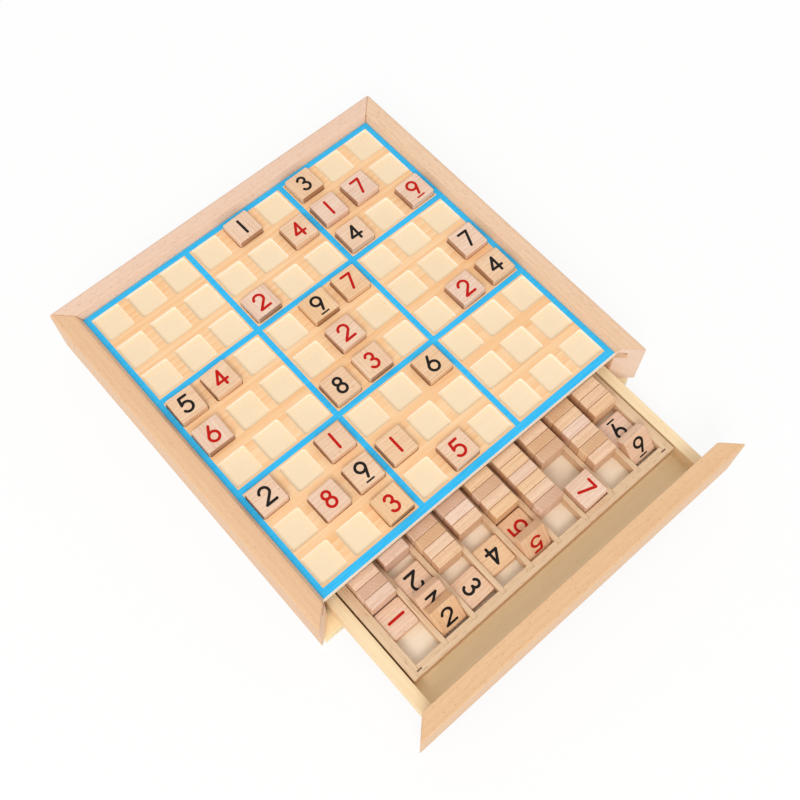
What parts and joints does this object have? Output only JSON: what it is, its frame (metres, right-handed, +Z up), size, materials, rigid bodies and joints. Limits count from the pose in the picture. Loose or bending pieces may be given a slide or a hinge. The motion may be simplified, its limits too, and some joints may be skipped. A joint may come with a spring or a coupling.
{
  "type": "sudoku board",
  "caption": "Wooden sudoku board with recessed cells and painted block lines in a beech frame; loose number tiles lift out, and a drawer under the board keeps the spare tiles.",
  "frame": {"origin": "under the centre of the grid, on the underside of the base panel", "axes": "+Z up, +X to the right seen from the drawer side, -Y the way the drawer opens"},
  "size_m": [0.2236, 0.2943, 0.043],
  "materials": {
    "beech": "sanded and oiled",
    "birch_ply": "sanded plywood",
    "printed_board": "satin",
    "blue_paint": "screen-printed paint",
    "tile_wood": "tumbled smooth",
    "steel": "bright wire"
  },
  "bodies": {
    "carcass": {"base_panel": "birch_ply", "base_brads": "steel", "left_rail": "beech", "right_rail": "beech", "back_rail": "beech", "playing_board": "printed_board", "grid_lines": "blue_paint"},
    "drawer": {"drawer_front": "beech", "drawer_left_side": "birch_ply", "drawer_right_side": "birch_ply", "drawer_back": "birch_ply", "drawer_floor": "birch_ply", "tray_floor": "birch_ply", "tray_left_wall": "birch_ply", "tray_right_wall": "birch_ply", "tray_front_wall": "birch_ply", "tray_back_wall": "birch_ply", "tray_dividers": "birch_ply", "tray_staples": "steel", "stored_ones": "tile_wood", "stored_twos": "tile_wood", "stored_threes": "tile_wood", "stored_fours": "tile_wood", "stored_fives": "tile_wood", "stored_sixes": "tile_wood", "stored_sevens": "tile_wood", "stored_eights": "tile_wood", "stored_nines": "tile_wood"},
    "tile_row1_col5": {"tile_row1_col5": "tile_wood"},
    "tile_row1_col7": {"tile_row1_col7": "tile_wood"},
    "tile_row2_col6": {"tile_row2_col6": "tile_wood"},
    "tile_row2_col7": {"tile_row2_col7": "tile_wood"},
    "tile_row2_col8": {"tile_row2_col8": "tile_wood"},
    "tile_row3_col4": {"tile_row3_col4": "tile_wood"},
    "tile_row3_col7": {"tile_row3_col7": "tile_wood"},
    "tile_row3_col9": {"tile_row3_col9": "tile_wood"},
    "tile_row4_col1": {"tile_row4_col1": "tile_wood"},
    "tile_row4_col2": {"tile_row4_col2": "tile_wood"},
    "tile_row4_col5": {"tile_row4_col5": "tile_wood"},
    "tile_row4_col6": {"tile_row4_col6": "tile_wood"},
    "tile_row5_col1": {"tile_row5_col1": "tile_wood"},
    "tile_row5_col5": {"tile_row5_col5": "tile_wood"},
    "tile_row5_col9": {"tile_row5_col9": "tile_wood"},
    "tile_row6_col4": {"tile_row6_col4": "tile_wood"},
    "tile_row6_col5": {"tile_row6_col5": "tile_wood"},
    "tile_row6_col8": {"tile_row6_col8": "tile_wood"},
    "tile_row6_col9": {"tile_row6_col9": "tile_wood"},
    "tile_row7_col1": {"tile_row7_col1": "tile_wood"},
    "tile_row7_col3": {"tile_row7_col3": "tile_wood"},
    "tile_row7_col6": {"tile_row7_col6": "tile_wood"},
    "tile_row8_col2": {"tile_row8_col2": "tile_wood"},
    "tile_row8_col3": {"tile_row8_col3": "tile_wood"},
    "tile_row8_col4": {"tile_row8_col4": "tile_wood"},
    "tile_row9_col3": {"tile_row9_col3": "tile_wood"},
    "tile_row9_col5": {"tile_row9_col5": "tile_wood"}
  },
  "joints": [
    {"name": "drawer_slide", "type": "slide", "parent": "carcass", "child": "drawer", "axis": [0, -1, 0], "range_m": [-0.07, 0.085]},
    {"name": "lift_row1_col5", "type": "slide", "parent": "carcass", "child": "tile_row1_col5", "axis": [0, 0, 1], "range_m": [0, 0.02]},
    {"name": "lift_row1_col7", "type": "slide", "parent": "carcass", "child": "tile_row1_col7", "axis": [0, 0, 1], "range_m": [0, 0.02]},
    {"name": "lift_row2_col6", "type": "slide", "parent": "carcass", "child": "tile_row2_col6", "axis": [0, 0, 1], "range_m": [0, 0.02]},
    {"name": "lift_row2_col7", "type": "slide", "parent": "carcass", "child": "tile_row2_col7", "axis": [0, 0, 1], "range_m": [0, 0.02]},
    {"name": "lift_row2_col8", "type": "slide", "parent": "carcass", "child": "tile_row2_col8", "axis": [0, 0, 1], "range_m": [0, 0.02]},
    {"name": "lift_row3_col4", "type": "slide", "parent": "carcass", "child": "tile_row3_col4", "axis": [0, 0, 1], "range_m": [0, 0.02]},
    {"name": "lift_row3_col7", "type": "slide", "parent": "carcass", "child": "tile_row3_col7", "axis": [0, 0, 1], "range_m": [0, 0.02]},
    {"name": "lift_row3_col9", "type": "slide", "parent": "carcass", "child": "tile_row3_col9", "axis": [0, 0, 1], "range_m": [0, 0.02]},
    {"name": "lift_row4_col1", "type": "slide", "parent": "carcass", "child": "tile_row4_col1", "axis": [0, 0, 1], "range_m": [0, 0.02]},
    {"name": "lift_row4_col2", "type": "slide", "parent": "carcass", "child": "tile_row4_col2", "axis": [0, 0, 1], "range_m": [0, 0.02]},
    {"name": "lift_row4_col5", "type": "slide", "parent": "carcass", "child": "tile_row4_col5", "axis": [0, 0, 1], "range_m": [0, 0.02]},
    {"name": "lift_row4_col6", "type": "slide", "parent": "carcass", "child": "tile_row4_col6", "axis": [0, 0, 1], "range_m": [0, 0.02]},
    {"name": "lift_row5_col1", "type": "slide", "parent": "carcass", "child": "tile_row5_col1", "axis": [0, 0, 1], "range_m": [0, 0.02]},
    {"name": "lift_row5_col5", "type": "slide", "parent": "carcass", "child": "tile_row5_col5", "axis": [0, 0, 1], "range_m": [0, 0.02]},
    {"name": "lift_row5_col9", "type": "slide", "parent": "carcass", "child": "tile_row5_col9", "axis": [0, 0, 1], "range_m": [0, 0.02]},
    {"name": "lift_row6_col4", "type": "slide", "parent": "carcass", "child": "tile_row6_col4", "axis": [0, 0, 1], "range_m": [0, 0.02]},
    {"name": "lift_row6_col5", "type": "slide", "parent": "carcass", "child": "tile_row6_col5", "axis": [0, 0, 1], "range_m": [0, 0.02]},
    {"name": "lift_row6_col8", "type": "slide", "parent": "carcass", "child": "tile_row6_col8", "axis": [0, 0, 1], "range_m": [0, 0.02]},
    {"name": "lift_row6_col9", "type": "slide", "parent": "carcass", "child": "tile_row6_col9", "axis": [0, 0, 1], "range_m": [0, 0.02]},
    {"name": "lift_row7_col1", "type": "slide", "parent": "carcass", "child": "tile_row7_col1", "axis": [0, 0, 1], "range_m": [0, 0.02]},
    {"name": "lift_row7_col3", "type": "slide", "parent": "carcass", "child": "tile_row7_col3", "axis": [0, 0, 1], "range_m": [0, 0.02]},
    {"name": "lift_row7_col6", "type": "slide", "parent": "carcass", "child": "tile_row7_col6", "axis": [0, 0, 1], "range_m": [0, 0.02]},
    {"name": "lift_row8_col2", "type": "slide", "parent": "carcass", "child": "tile_row8_col2", "axis": [0, 0, 1], "range_m": [0, 0.02]},
    {"name": "lift_row8_col3", "type": "slide", "parent": "carcass", "child": "tile_row8_col3", "axis": [0, 0, 1], "range_m": [0, 0.02]},
    {"name": "lift_row8_col4", "type": "slide", "parent": "carcass", "child": "tile_row8_col4", "axis": [0, 0, 1], "range_m": [0, 0.02]},
    {"name": "lift_row9_col3", "type": "slide", "parent": "carcass", "child": "tile_row9_col3", "axis": [0, 0, 1], "range_m": [0, 0.02]},
    {"name": "lift_row9_col5", "type": "slide", "parent": "carcass", "child": "tile_row9_col5", "axis": [0, 0, 1], "range_m": [0, 0.02]}
  ]
}
